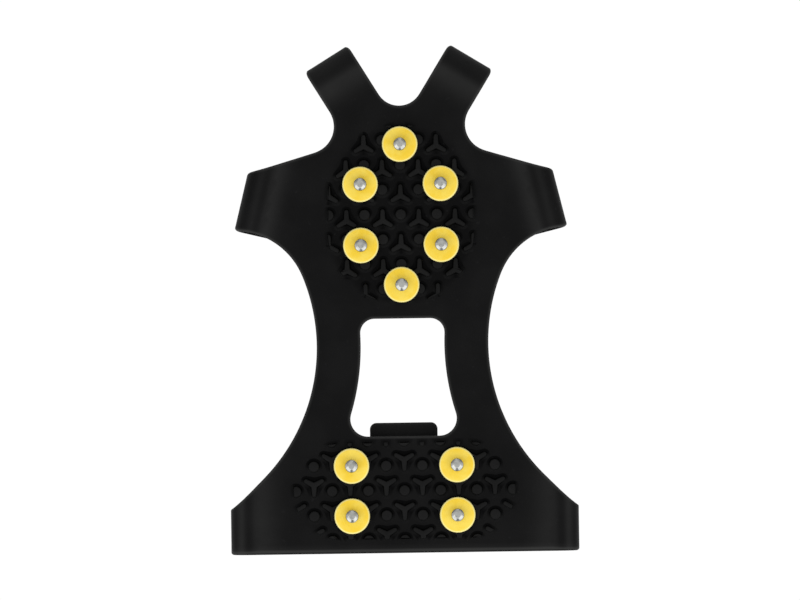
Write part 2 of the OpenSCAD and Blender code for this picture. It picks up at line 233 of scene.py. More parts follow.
frontCorner, frontCornerEnd = cornerOf(windowFront - sole["windowFrontRound"], sole["windowFrontRound"])
rearCorner, rearCornerEnd = cornerOf(windowRear + sole["windowRearRound"], sole["windowRearRound"])
archFront = frontCornerEnd[1] - sole["archLap"]
archRear = rearCornerEnd[1] + sole["archLap"]
earInner = halfHeel - sole["foldRound"] - sole["earArm"]
print("plan: window from", round(windowRear, 2), "to", round(windowFront, 2))


# A fold turns the sheet over by the tilt pi * (1 - cos(pi * s / length)) / 2, s being the way along it,
# so it bends most at its outer edge. Reach and drop are the running sums of the tilt's cosine and sine
midTop = sole["plateTop"] - halfStrap  # height of the strap's middle layer on top
fullDrop = midTop - halfStrap
farAway = 500.0  # the sheet is flat for at least this far before and after a fold


def runningSum(values, way):
    return joined([[0], np.cumsum((values[1:] + values[:-1]) / 2 * np.diff(way))])


foldShare = np.linspace(0, 1, detail["fold"])
foldTilt = math.pi * (1 - np.cos(math.pi * foldShare)) / 2
foldLength = fullDrop / runningSum(np.sin(foldTilt), foldShare)[-1]
foldWay = foldShare * foldLength
foldReach = runningSum(np.cos(foldTilt), foldWay)
foldDrop = runningSum(np.sin(foldTilt), foldWay)
foldOut = foldReach.max() + halfStrap  # from the start of the bend to the fold's outer edge
halfWay = foldLength / 2
farWay = joined([[-farAway], foldWay, [foldLength + farAway]])
farReach = joined([[-farAway], foldReach, [foldReach[-1] - farAway]])
farDrop = joined([[0], foldDrop, [fullDrop]])
farTilt = joined([[0], foldTilt, [math.pi]])


def wayAt(reach):  # way along the sheet at a plan distance past the start of the bend, on top
    upper = foldWay <= halfWay
    return np.where(reach < 0, reach, np.interp(reach, foldReach[upper], foldWay[upper]))


def strapFold(middle, out, across, side, arm, marks, pinch=0.0):
    # Side is how far to each side the fold is felt; the arm counts from the crease inside the fold
    return {"start": middle - foldOut * out, "out": out, "across": across, "side": side, "marks": marks,
            "pinch": pinch, "end": foldLength + arm + sole["foldRound"] - foldOut}


def otherSide(strap):
    turned = dict(strap)
    turned.update({k: strap[k] * [-1, 1] for k in ("start", "out", "across")})
    return turned


# Marks at the folds: bells of painted highlight, pale bands standing for light on the bends, and bells of
# depth, dents in the sheet, each with its distance in from the outer edge, its widths on the outer and the
# inner side, and its amount
toeMarks = {"pale": ((0.6, 1.3, 4.2, 0.36), (11.0, 2.8, 6.5, 0.5)), "dent": ()}
sideMarks = {"pale": ((0.5, 0.8, 1.0, 0.22), (6.2, 1.8, 1.6, 0.2), (12.1, 2.2, 4.6, 0.45)),
             "dent": ((9.3, 0.9, 0.9, 0.3),)}
earMarks = {"pale": ((0.5, 0.7, 0.8, 0.2), (4.4, 1.8, 1.6, 0.42), (11.7, 2.6, 7.5, 0.32)),
            "dent": ((8.7, 0.9, 0.9, 0.3),)}
toeStrap = strapFold(toeFold, toeOut, toeAcross, sole["toeZone"], sole["toeArm"], toeMarks, sole["toePinch"])
sideStrap = strapFold(sideFold, sideOut, sideAcross, sole["sideZone"], sole["sideArm"], sideMarks,
                      sole["sidePinch"])
heelEar = strapFold(xy(halfHeel, 0), heading(0), heading(90), sole["earZone"], sole["earArm"], earMarks)
foreFolds = [toeStrap, sideStrap, otherSide(toeStrap), otherSide(sideStrap)]
heelFolds = [heelEar, otherSide(heelEar)]


def inStrap(points, strap):  # way along a strap and place across it
    offset = points - strap["start"]
    return offset @ strap["out"], offset @ strap["across"]


def onStrap(strap, way, across):
    way, across = np.broadcast_arrays(np.atleast_1d(np.asarray(way, float)), across)
    return strap["start"] + way[:, None] * strap["out"] + across[:, None] * strap["across"]


def laidOut(strap, path):  # a plan edge past the start of the bend, stretched to its way along the sheet
    reach, across = inStrap(path, strap)
    return onStrap(strap, wayAt(np.minimum(reach, foldReach.max())), across)


def undersideOf(points, folds, thick):  # lower face's height from the middle layer, thinner at a fold
    low = np.full(len(points), halfStrap - thick)
    for strap in folds:
        way, across = inStrap(points, strap)
        thinning = smooth(way / sole["thinLength"] + 1) * (np.abs(across) < strap["side"])
        low = low + thinning * (thick - sole["strapThick"])
    return low


def marked(sheet, folds, kind):  # sum of a kind of mark at each point, fading round the outer edge
    total = np.zeros(len(sheet))
    for strap in folds:
        way, across = inStrap(sheet[:, :2], strap)
        lean = np.sin(np.interp(way, farWay, farTilt))
        inward = foldOut - np.interp(way, farWay, farReach) - sheet[:, 2] * lean
        upper = smooth((halfWay - way) / sole["markFade"] + 1) * (np.abs(across) < strap["side"])
        for at, outerWidth, innerWidth, amount in strap["marks"][kind]:
            width = np.where(inward < at, outerWidth, innerWidth)
            total += upper * amount * np.exp(-((inward - at) / width) ** 2)
    return total


def treadShade(points, centre, size, amount):  # painted shade between the lugs, fading towards the zone's edge
    endRound = min(size) / 2
    outside = np.maximum(np.abs(points[:, :2] - centre) - np.array(size) / 2 + endRound, 0)
    depth = endRound - lengths(outside)
    onTop = points[:, 2] > sole["plateTop"] - sole["shadeDepth"]
    return amount * smooth(depth / sole["shadeFade"]) * onTop


def bent(sheet, folds, middle):  # flat x, y and height carried round the folds, a strap narrowing at its bend
    placed = atHeight(sheet[:, :2], middle + sheet[:, 2])
    for strap in folds:
        way, across = inStrap(sheet[:, :2], strap)
        hit = (way > 0) & (np.abs(across) < strap["side"])
        tilt = np.interp(way[hit], farWay, farTilt)
        reach = np.interp(way[hit], farWay, farReach) + sheet[hit, 2] * np.sin(tilt)
        narrow = 1 - strap["pinch"] * np.exp(-((way[hit] - halfWay) / sole["pinchLength"]) ** 2)
        placed[hit, :2] = onStrap(strap, reach, across[hit] * narrow)
        placed[hit, 2] = middle - np.interp(way[hit], farWay, farDrop) + sheet[hit, 2] * np.cos(tilt)
    return placed


# Rubber slabs: a rounded rim carried along each edge run, filled flat above and below
edgePaintedHighlight = np.array([0, 0.35, 0.8, 0.9, 0.6, 0.2] + [0] * 8)  # painted highlight on the rim's rings, from the top down
rearPaintedLightShade = np.array([0.15, 0.75, 0.95, 0.4, -0.2, -0.45, -0.45] + [0] * 7)  # painted highlight on the upper rings and painted shade on the lower rings, at the heel's rear edge
lattice = {"spacing": 2.6, "rowShare": 0.87, "bendClear": 1.0, "alongStep": 0.7, "acrossStep": 2.0,
           "reach": 130.0, "edgeClear": 0.8}
pit = {"radius": 5.6, "depth": 1.05, "clear": 6.4}  # in the lower face, round each backing washer


def inside(points, loop):  # even-odd rule
    a, b = loop, np.roll(loop, -1, axis=0)
    x, y = points[:, :1], points[:, 1:]
    rise = np.where(b[:, 1] == a[:, 1], 1.0, b[:, 1] - a[:, 1])
    hits = ((a[:, 1] > y) != (b[:, 1] > y)) & (x < (b[:, 0] - a[:, 0]) * (y - a[:, 1]) / rise + a[:, 0])
    return hits.sum(1) % 2 == 1


def clearOf(points, loop, distance):  # True for points that keep a distance from the whole closed loop
    edge = even(joined([loop, loop[:1]]))
    return np.linalg.norm(points[:, None] - edge[None], axis=2).min(1) > distance


def filled(loops, points):  # triangles inside the first loop, outside the others, through the points
    rows = joined(loops + [points])
    starts = np.cumsum([0] + [len(loop) for loop in loops])
    edges = []
    for start, loop in zip(starts, loops):
        at = np.arange(len(loop))
        edges += np.stack([start + at, start + (at + 1) % len(loop)], 1).tolist()
    made = delaunay_2d_cdt([Vector(row) for row in rows], edges, [], 2, 1e-6)
    if len(made[0]) != len(rows):
        raise RuntimeError("the outline crosses itself")
    source = np.array([ids[0] for ids in made[3]])
    faces = source[np.array(made[2])]
    owner = [np.full(len(loop), k) for k, loop in enumerate(loops)]
    holder = joined(owner + [np.zeros(len(points), int)])[faces]
    # A face with all its corners on one hole's edge lies in the hole
    inHole = (holder[:, 0] > 0) & (holder == holder[:, :1]).all(1)
    return faces[~inHole]


def latticeFor(loop, folds):  # points for a flat face: rows set in turn, and a finer grid along each fold
    spacing = lattice["spacing"]
    low, high = loop.min(0), loop.max(0)
    rows = np.arange(low[1], high[1], spacing * lattice["rowShare"])
    columns = np.arange(low[0], high[0], spacing)
    x, y = np.meshgrid(columns, rows)
    x = x + spacing / 2 * (np.arange(len(rows)) % 2)[:, None]
    points = np.column_stack([x.ravel(), y.ravel()])
    grids = []
    for strap in folds:
        way, across = inStrap(points, strap)
        points = points[(way < -lattice["bendClear"]) | (np.abs(across) > strap["side"])]
        way, across = np.meshgrid(np.arange(0, strap["end"], lattice["alongStep"]),
                                  np.arange(-lattice["reach"], lattice["reach"], lattice["acrossStep"]))
        grids.append(onStrap(strap, way.ravel(), across.ravel())[np.abs(across.ravel()) < strap["side"]])
    points = joined([points] + grids)
    points = points[inside(points, loop)]
    return points[clearOf(points, loop, lattice["edgeClear"])]


def rimOf(runs, folds, closed, thick):
    # Inset r * (1 - sin a) and fall r * (1 - cos a) round each edge; a cut end is inset along the cut
    turn = np.radians([0, 18, 36, 54, 72, 90])[:, None]
    inBy, downBy = 1 - np.sin(turn), 1 - np.cos(turn)
    parts = []
    for k, run in enumerate(runs):
        path = run["path"]
        ahead = np.roll(path, -1, axis=0) - np.roll(path, 1, axis=0)
        if not closed:
            ahead[0], ahead[-1] = path[1] - path[0], path[-1] - path[-2]
        inward = rightOf(ahead)
        if not closed:
            cut = runs[k - 1]["path"][-1] - path[0]
            inward[0] = cut / (cut @ inward[0])
            cut = runs[(k + 1) % len(runs)]["path"][0] - path[-1]
            inward[-1] = cut / (cut @ inward[-1])
        top = np.broadcast_to(run.get("top", sole["edgeRound"]), (1, len(path)))
        low = np.broadcast_to(run.get("low", sole["innerRound"]), (1, len(path)))
        base = undersideOf(path, folds, thick)[None]
        # One more ring on the flat ends the rim's shading
        flatRing = run.get("flatRing", sole["flatRing"])
        inset = joined([top + flatRing, top * inBy, low * downBy, low + flatRing])
        height = halfStrap - joined([0 * top, top * downBy])
        height = joined([height, base + low * inBy, base])
        flat = path[None] + inset[:, :, None] * inward[None]
        parts.append(joined([flat, height[:, :, None]], 2))
    return parts


def strips(at, nextAt, rings, count):  # faces between each ring of points and the next
    level = np.arange(rings - 1)[:, None] * count
    quads = np.stack([level + at, level + nextAt, level + count + nextAt, level + count + at], 2)
    return quads.reshape(-1, 4).tolist()


def stacked(rings, height, closedRing=False):  # rings of plan points and their heights, with two end faces
    steps, count = rings.shape[:2]
    points = joined([rings, np.broadcast_to(height, (steps, count))[:, :, None]], 2)
    at = np.arange(count)
    nextAt = np.roll(at, -1)
    last = (steps - 1) * count
    faces = strips(at, nextAt, steps, count)
    if closedRing:  # or with faces from the last ring back to the first
        faces += np.stack([at + last, nextAt + last, nextAt, at], 1).tolist()
    else:
        faces += [at.tolist(), (at + last).tolist()]
    return points.reshape(-1, 3), faces


def slab(runs, middle, folds=(), pits=(), closed=False, paintedRim=edgePaintedHighlight, thick=sole["plateThick"]):
    parts = rimOf(runs, folds, closed, thick)
    rim = joined(parts, 1)
    rings, count = rim.shape[:2]
    starts = np.cumsum([0] + [p.shape[1] for p in parts])
    faces = []
    for first, past in zip(starts, starts[1:]):
        at = np.arange(first, past if closed else past - 1)
        faces += strips(at, np.where(at + 1 < past, at + 1, first), rings, count)
    cutEnds = []
    if not closed:
        for last, first in zip(starts[1:] - 1, np.append(starts[1:-1], 0)):
            level = np.arange(rings) * count
            cutEnds.append(joined([level + last, level[::-1] + first]))
    topLoop, lowLoop = rim[0, :, :2], rim[-1, :, :2]
    points = latticeFor(topLoop, folds)
    base = rim.reshape(-1, 3)
    topPoints = atHeight(points, halfStrap)
    sides = detail["pit"]
    pitLoops = [centre + circle(pit["radius"], sides) for centre in pits]
    lowKeep = points[clearOf(points, lowLoop, lattice["edgeClear"])]
    for centre in pits:
        lowKeep = lowKeep[lengths(lowKeep - centre) > pit["clear"]]
    lowPoints = atHeight(lowKeep, undersideOf(lowKeep, folds, thick))
    pitLow = [atHeight(ring, halfStrap - thick) for ring in pitLoops]
    pitHigh = [atHeight(ring, halfStrap - thick + pit["depth"]) for ring in pitLoops]
    cutMiddle = [base[ids].mean(0)[None] for ids in cutEnds]
    # Points in their order: rim, upper face, pit edges, lower face, pit floors, middles of cut ends
    sheet = joined([base, topPoints] + pitLow + [lowPoints] + pitHigh + cutMiddle)
    topIds = joined([np.arange(count), len(base) + np.arange(len(points))])
    pitStart = len(base) + len(points)
    pitEnd = pitStart + sides * len(pits) + len(lowKeep)
    lowIds = joined([np.arange(count) + (rings - 1) * count, np.arange(pitStart, pitEnd)])
    faces += topIds[filled([topLoop], points)].tolist()
    faces += lowIds[filled([lowLoop] + pitLoops, lowKeep)].tolist()
    step = np.arange(sides)
    ahead = (step + 1) % sides
    for k in range(len(pits)):
        a, b = pitStart + sides * k, pitEnd + sides * k
        faces += np.stack([a + step, a + ahead, b + ahead, b + step], 1).tolist()
        faces.append((b + step).tolist())
    for k, ids in enumerate(cutEnds):  # a cut end is a fan round its own middle
        middleId = np.full(len(ids), pitEnd + sides * len(pits) + k)
        faces += np.stack([ids, np.roll(ids, -1), middleId], 1).tolist()
    topSide = np.maximum(sheet[:, 2], 0) / halfStrap
    # Painted highlight bands at the fold bends, then painted highlight and shade on the rim rings
    pale = marked(sheet, folds, "pale") * topSide
    rimPaintedLight = [np.repeat(run.get("paintedRim", paintedRim)[:, None], part.shape[1], 1) for run, part in zip(runs, parts)]
    pale[:len(base)] += joined(rimPaintedLight, 1).ravel()
    sheet[:, 2] -= marked(sheet, folds, "dent") * topSide
    return bent(sheet, folds, middle), faces, pale


def meshOf(name, points, faces, material):
    mesh = bpy.data.meshes.new(name)
    mesh.from_pydata(points, [], faces)
    mesh.materials.append(material)
    return mesh


def newObject(name, data):
    made = bpy.data.objects.new(name, data)
    bpy.context.scene.collection.objects.link(made)
    return made


def pieceFrom(name, skin, finish, sharp=40):  # skin: points, faces and, for rubber, painted light and shade
    points, faces = skin[:2]
    slotName, material = finish
    mesh = meshOf(name, (points * mm).tolist(), faces, material)
    shell = bmesh.new()
    shell.from_mesh(mesh)
    bmesh.ops.recalc_face_normals(shell, faces=shell.faces)
    shell.to_mesh(mesh)
    shell.free()
    mesh.polygons.foreach_set("use_smooth", np.ones(len(mesh.polygons), bool))
    mesh.set_sharp_from_angle(angle=math.radians(sharp))
    if len(skin) > 2:
        mesh.attributes.new("pale", "FLOAT", "POINT").data.foreach_set("value", skin[2].astype(np.float32))
    piece = newObject(name, mesh)
    return piece


# Finishes

class Value:  # a node's output; arithmetic on it adds Math nodes
    def __init__(self, finish, socket):
        self.finish = finish
        self.socket = socket

    def sum(self, operation, first, second):
        return self.finish.node("ShaderNodeMath", {"operation": operation}, {0: first, 1: second})

    def __add__(self, other):
        return self.sum("ADD", self, other)

    __radd__ = __add__

    def __mul__(self, other):
        return self.sum("MULTIPLY", self, other)

    def __sub__(self, other):
        return self.sum("SUBTRACT", self, other)

    def above(self, edge, width):  # 0 below the edge, 1 past its width
        return self.finish.node("ShaderNodeMapRange", {"interpolation_type": "SMOOTHSTEP"},
                                {"Value": self, "From Min": edge, "From Max": edge + width})


class Finish:
    def __init__(self, name, world=None):
        self.owner = world or bpy.data.materials.new(name)
        self.owner.use_nodes = True
        self.tree = self.owner.node_tree
        self.tree.nodes.clear()

    def node(self, kind, settings=None, sockets=None, out=0):
        made = self.tree.nodes.new(kind)
        for key, value in (settings or {}).items():
            setattr(made, key, value)
        for key, value in (sockets or {}).items():
            if isinstance(value, Value):
                self.tree.links.new(value.socket, made.inputs[key])
            else:
                made.inputs[key].default_value = value
        return Value(self, made.outputs[out]) if len(made.outputs) else made

    def place(self, out="Object"):
        return self.node("ShaderNodeTexCoord", out=out)

    def alongProfile(self):  # a turned piece's way along its profile
        return self.node("ShaderNodeSeparateXYZ", None, {0: self.place("UV")}, out=1)

    def noise(self, scale, octaves):
        sockets = {"Vector": self.place(), "Scale": scale, "Detail": octaves}
        return self.node("ShaderNodeTexNoise", None, sockets)

    def mix(self, factor, first, second):
        return self.node("ShaderNodeMix", {"data_type": "RGBA"}, {0: factor, 6: first, 7: second}, out=2)

    def bump(self, height, distance, strength=1.0):
        sockets = {"Height": height, "Distance": distance, "Strength": strength}
        return self.node("ShaderNodeBump", None, sockets)

    def matte(self, tone):
        return self.node("ShaderNodeBsdfDiffuse", None, {"Color": (tone, tone, tone, 1)})

    def surfaced(self, surface):
        self.node("ShaderNodeOutputMaterial", None, {"Surface": surface})
        return self.owner

    def shade(self, sockets):
        return self.surfaced(self.node("ShaderNodeBsdfPrincipled", None, sockets))


# Looks: a noise is its scale and octaves, an edge is where a blend starts and how wide it is
# The paler tone is for painted highlights and sheen, the deep tone for painted shade
rubber = {"dark": (0.0053, 0.0053, 0.0054, 1), "light": (0.0073, 0.0073, 0.0074, 1), "rough": 0.46,
          "paintedSheen": (0.031, 0.031, 0.0306, 1), "deep": (0.0004, 0.0004, 0.0005, 1), "mirror": 0.034,
          "cloud": (55.0, 4.0), "grain": (1500.0, 2.0), "dust": (420.0, 3.0), "cloudEdge": (0.35, 0.35),
          "dustEdge": (0.66, 0.08), "dustShare": 0.2, "dustTone": (0.02, 0.02, 0.021, 1), "paintedSheenLeast": 0.75,
          "paintedSheenCloud": 0.5, "roughCloud": 0.16, "roughGrain": 0.1, "roughDust": 0.08, "bumpDepth": 0.00003}


def rubberFinish():
    finish = Finish("blackRubber")
    cloud = finish.noise(*rubber["cloud"])
    grain = finish.noise(*rubber["grain"])
    dust = finish.noise(*rubber["dust"]).above(*rubber["dustEdge"])
    # The pale attribute is painted light: above zero painted highlight and sheen, below zero painted shade
    pale = finish.node("ShaderNodeAttribute", {"attribute_name": "pale"}, out="Fac")
    tone = finish.mix(cloud.above(*rubber["cloudEdge"]), rubber["dark"], rubber["light"])
    # Painted highlight and sheen where the attribute is above zero, painted shade towards the deep tone where
    # it is below
    paintedSheen = cloud * rubber["paintedSheenCloud"] + rubber["paintedSheenLeast"]
    tone = finish.mix(pale * paintedSheen, tone, rubber["paintedSheen"])
    tone = finish.mix(pale * -1.0, tone, rubber["deep"])
    tone = finish.mix(dust * rubber["dustShare"], tone, rubber["dustTone"])
    rough = rubber["rough"] + (cloud - 0.5) * rubber["roughCloud"]
    rough = rough + (grain - 0.5) * rubber["roughGrain"] + dust * rubber["roughDust"]
    return finish.shade({
        "Base Color": tone,
        "Roughness": rough,
        "Normal": finish.bump(grain, rubber["bumpDepth"]),
        "Specular IOR Level": rubber["mirror"],
    })


# rim is a painted highlight round the washer's rounded rim
grip = {"deep": (0.915, 0.622, 0.027, 1), "bright": (0.955, 0.712, 0.088, 1), "rim": (0.97, 0.86, 0.33, 1),
        "rough": 0.42, "rimHighlightEdge": (7.45, 0.6), "cloud": (200.0, 3.0), "grain": (2600.0, 2.0),
        "cloudEdge": (0.3, 0.4), "roughCloud": 0.15, "bumpDepth": 0.000015, "mirror": 0.4}


def gripFinish():
    finish = Finish("gripYellow")
    cloud = finish.noise(*grip["cloud"])
    grain = finish.noise(*grip["grain"])
    tone = finish.mix(cloud.above(*grip["cloudEdge"]), grip["deep"], grip["bright"])
    # Painted highlight ring on the rim, up to the edge along the profile
    tone = finish.mix(finish.alongProfile().above(*grip["rimHighlightEdge"]), grip["rim"], tone)
    return finish.shade({
        "Base Color": tone,
        "Roughness": grip["rough"] + (cloud - 0.5) * grip["roughCloud"],
        "Normal": finish.bump(grain, grip["bumpDepth"]),
        "Specular IOR Level": grip["mirror"],
    })


metal = {"rings": (9.0, 2.0), "stain": (700.0, 3.0), "stainEdge": (0.4, 0.3), "roughRings": 0.12,
         "roughStain": 0.14, "bumpDepth": 0.00001, "bumpStrength": 0.6}


def metalFinish(name, tone, worn, rough):
    finish = Finish(name)
    scale, octaves = metal["rings"]
    sockets = {"W": finish.alongProfile(), "Scale": scale, "Detail": octaves}
    rings = finish.node("ShaderNodeTexNoise", {"noise_dimensions": "1D"}, sockets)
    stain = finish.noise(*metal["stain"])
    return finish.shade({
        "Base Color": finish.mix(stain.above(*metal["stainEdge"]), tone, worn),
        "Metallic": 1.0,
        "Roughness": rough + (rings - 0.5) * metal["roughRings"] + (stain - 0.5) * metal["roughStain"],
        "Normal": finish.bump(rings, metal["bumpDepth"], metal["bumpStrength"]),
    })


nickel = {"tone": (0.4, 0.405, 0.385, 1), "worn": (0.31, 0.315, 0.3, 1), "rough": 0.22}
steel = {"tone": (0.58, 0.58, 0.58, 1), "worn": (0.47, 0.47, 0.48, 1), "rough": 0.34}

# Each finish goes with the name of its slot
blackRubber = ("black_rubber", rubberFinish())
gripYellow = ("grip_yellow", gripFinish())
studNickel = ("stud_nickel", metalFinish("studNickel", **nickel))
backingSteel = ("backing_steel", metalFinish("backingSteel", **steel))
print("finishes ready")


# How far edges are softened, and the steps along them that aren't the usual one
soft = {"notch": 1.0, "shoulder": 1.6, "window": 0.5, "ear": 1.8, "band": 0.5, "windowStep": 0.4,
        "bandStep": 0.3, "cornerStep": 0.5, "foldStep": 0.2, "rearStep": 0.9}

# Forefoot: plate and four folded straps in one skin
toeInnerEnd = onStrap(toeStrap, toeStrap["end"], -halfToe)[0]
toeOuterEnd = onStrap(toeStrap, toeStrap["end"], halfToe)[0]
sideFrontEnd = onStrap(sideStrap, sideStrap["end"], halfSide)[0]
sideRearEnd = onStrap(sideStrap, sideStrap["end"], -halfSide)[0]

notchArc = arc(notchC, xy(0, notchY - sole["notchRound"]), notchEnd)
notchRun = bothHalves(joined([notchArc, line(notchEnd, toeInnerEnd)[1:]]))
crotchRun = joined([
    line(toeOuterEnd, crotchToe), arc(crotchC, crotchToe, crotchSide)[1:],
    laidOut(sideStrap, line(crotchSide, sideFront, soft["foldStep"])),
    line(onStrap(sideStrap, halfWay, halfSide)[0], sideFrontEnd)[1:]])
shoulderRun = joined([
    line(sideRearEnd, onStrap(sideStrap, halfWay, -halfSide)[0])[:-1],
    laidOut(sideStrap, arc(shoulderC, sideRear, shoulderEnd, soft["foldStep"])),
    edgeAt(np.linspace(shoulderEnd[1], archFront, detail["shoulder"]))[1:]])
windowHalf = joined([
    edgeAt([archFront, frontCornerEnd[1]], sole["barWidth"]),
    arc(frontCorner, frontCornerEnd, xy(frontCorner[0], windowFront), soft["cornerStep"])[1:],
    [[0, windowFront]]])
windowRun = joined([windowHalf, flipped(windowHalf)[1:]])
crotchRun = soften(crotchRun)
shoulderRun = soften(shoulderRun, soft["shoulder"])
foreRuns = [{"path": path} for path in (
    soften(notchRun, soft["notch"]), crotchRun, shoulderRun,
    soften(windowRun, soft["window"], soft["windowStep"]), flipped(shoulderRun), flipped(crotchRun))]

# Studs: a ring of six on the forefoot, a rectangle of four on the heel
studPlan = {"foreEnd": 29.7, "fore": (17.0, 12.9), "heel": (22.3, 10.6)}
corners = np.array([[1, 1], [-1, 1], [1, -1], [-1, -1]])
foreEnd = np.array([[0, studPlan["foreEnd"]]])
foreStuds = joined([foreEnd, corners * studPlan["fore"], -foreEnd]) + ringC
heelStuds = corners * studPlan["heel"] + heelC

forePoints, foreFaces, forePaintedLight = slab(foreRuns, midTop, foreFolds, foreStuds)
forePaintedLight -= treadShade(forePoints, ringC, sole["foreTread"], sole["foreShade"])
foreSole = pieceFrom("foreSole", (forePoints, foreFaces, forePaintedLight), blackRubber)
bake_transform(foreSole)
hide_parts("forefoot_plate", "left_toe_strap", "right_toe_strap", "left_side_strap",
            "right_side_strap")
print("forefoot skin:", len(foreSole.data.polygons), "faces")

# Arch bars: the plate's section carried along each side of the window
barOuter = edgeAt(np.linspace(archFront, archRear, detail["bar"]))
barInner = edgeAt(np.linspace(archRear, archFront, detail["bar"]), sole["barWidth"])
barPoints, barFaces, barPaintedLight = slab([{"path": barOuter}, {"path": barInner}], midTop)
shift = len(barPoints)
bothPoints = joined([barPoints, barPoints * [-1, 1, 1]])
bothFaces = barFaces + [[i + shift for i in face[::-1]] for face in barFaces]
archBars = pieceFrom("archBars", (bothPoints, bothFaces, np.tile(barPaintedLight, 2)), blackRubber)
archFront * mm
archRear * mm
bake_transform(archBars)
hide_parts("left_arch_bar", "right_arch_bar")

# Heel: plate and two folded ears in one skin
earBand = {"ahead": 23.0, "bead": 1.15, "beadStart": 3.0, "beadFade": 9.0}
earBandFront = rearY + earBand["ahead"]
rearHalf = joined([
    [[0, windowRear]],
    arc(rearCorner, xy(rearCorner[0], windowRear), rearCornerEnd, soft["cornerStep"]),
    edgeAt([rearCornerEnd[1], archRear], sole["barWidth"])[1:]])
rearWindowRun = bothHalves(rearHalf)
earStart = heelEar["start"][0]
earX = np.linspace(0, foldReach.max(), detail["ear"])
earY = earFront[1] + (earFront[0] - earStart - earX) * earNormal[0] / earNormal[1]
earTop = onStrap(heelEar, wayAt(earX), earY)
earFrontEnd = xy(earStart + heelEar["end"], earBandFront)
earRun = joined([
    edgeAt(np.linspace(archRear, earY[0], detail["ear"])), earTop[1:], line(earTop[-1], earFrontEnd)[1:]])
earRun = soften(earRun, soft["ear"])
earRearEnd = xy(earStart + heelEar["end"], rearY)
rearRun = line(earRearEnd, earRearEnd * [-1, 1], soft["rearStep"])
rearWay = np.abs(rearRun[:, 0]) - earStart
onEar = smooth((rearWay + earBand["beadStart"]) / earBand["beadFade"])
rearTop = between(sole["rearRound"], earBand["bead"], onEar)
rearLow = between(sole["innerRound"], earBand["bead"], onEar)
heelRuns = [{"path": soften(rearWindowRun, soft["window"], soft["windowStep"])}, {"path": earRun},
            {"path": rearRun, "top": rearTop, "low": rearLow, "paintedRim": rearPaintedLightShade}, {"path": flipped(earRun)}]
heelPoints, heelFaces, heelPaintedLight = slab(heelRuns, midTop, heelFolds, heelStuds)
heelPaintedLight -= treadShade(heelPoints, heelC, sole["heelTread"], sole["heelShade"])
heelSole = pieceFrom("heelSole", (heelPoints, heelFaces, heelPaintedLight), blackRubber)
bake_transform(heelSole)
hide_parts("heel_plate", "left_heel_ear", "right_heel_ear")
print("heel skin:", len(heelSole.data.polygons), "faces")


# Hidden harness: saddle under the forefoot, band and pull tab under the heel
toeArmEnd = toeFold - (sole["foldRound"] + sole["toeArm"]) * toeOut
sideArmEnd = sideFold - (sole["foldRound"] + sole["sideArm"]) * sideOut
saddleNotch = bothHalves(joined([notchArc, [toeArmEnd - halfToe * toeAcross]]))
saddleSide = bow(toeArmEnd + halfToe * toeAcross, sideArmEnd + halfSide * sideAcross, -sole["saddleSideIn"])
saddleRearCorner = sideArmEnd - halfSide * sideAcross
saddleRear = bow(saddleRearCorner, saddleRearCorner * [-1, 1], -sole["saddleRearIn"])
harnessEdge = {"top": sole["innerRound"], "low": sole["edgeRound"]}
saddleRuns = [dict(harnessEdge, path=even(path)) for path in (
    saddleNotch, saddleSide, saddleRear, flipped(saddleSide))]
saddleSkin = slab(saddleRuns, halfStrap, paintedRim=edgePaintedHighlight[::-1], thick=sole["strapThick"])
saddle = pieceFrom("instepSaddle", saddleSkin, blackRubber)
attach(saddle, "harness")
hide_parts("instep_saddle")

band = {"ahead": 45.0, "flat": 16.9, "seatHalf": 14.5, "seatDepth": 1.4, "edge": 0.35, "flatRing": 0.12}
bandFront = rearY + band["ahead"]
seatY = bandFront - band["seatDepth"]
bandRise = bandFront - earBandFront
bandRound = ((earInner - band["flat"]) ** 2 + bandRise ** 2) / (2 * bandRise)
bandHalf = joined([
    [[0, seatY], [band["seatHalf"], seatY], [band["seatHalf"], bandFront]],
    arc(xy(band["flat"], bandFront - bandRound), xy(band["flat"], bandFront),
        xy(earInner, earBandFront))])
bandFrontRun = soften(bothHalves(bandHalf), soft["band"], soft["bandStep"])
bandRearRun = line(xy(earInner, rearY), xy(-earInner, rearY), soft["rearStep"])
bandEdge = dict(harnessEdge, top=band["edge"], low=band["edge"], flatRing=band["flatRing"])
bandRuns = [dict(bandEdge, path=bandFrontRun),
            dict(harnessEdge, path=bandRearRun, top=earBand["bead"], low=earBand["bead"])]
bandSkin = slab(bandRuns, halfStrap, paintedRim=edgePaintedHighlight[::-1], thick=sole["strapThick"])
heelBand = pieceFrom("heelBand", bandSkin, blackRubber)
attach(heelBand, "heel_band")
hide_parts("heel_band")

tab = {"half": 14.35, "length": 10.0, "corner": 2.8, "rootCorner": 2.2, "step": 0.5, "cornerStep": 0.4,
       "rootStart": 3.0, "rootFade": 2.5, "flatRing": 0.3, "paintedRim": 0.4, "paintedLightRoot": 0.108, "paintedLightTip": 0.36}
tabRoot = bandFront - halfStrap
tabTip = bandFront + tab["length"]
tabCorner = xy(tab["half"] - tab["corner"], tabTip - tab["corner"])
rootCorner = xy(tab["half"] - tab["rootCorner"], tabRoot + tab["rootCorner"])
tipEnd = xy(tabCorner[0], tabTip)
rootEnd = xy(rootCorner[0], tabRoot)
sideTip = xy(tab["half"], tabCorner[1])
sideRoot = xy(tab["half"], rootCorner[1])
tabHalf = joined([
    line(xy(0, tabTip), tipEnd, tab["step"])[:-1], arc(tabCorner, tipEnd, sideTip, tab["cornerStep"]),
    line(sideTip, sideRoot, tab["step"])[1:-1], arc(rootCorner, sideRoot, rootEnd, tab["cornerStep"]),
    line(rootEnd, xy(0, tabRoot), tab["step"])[1:]])
tabLoop = joined([tabHalf, flipped(tabHalf)[1:-1]])
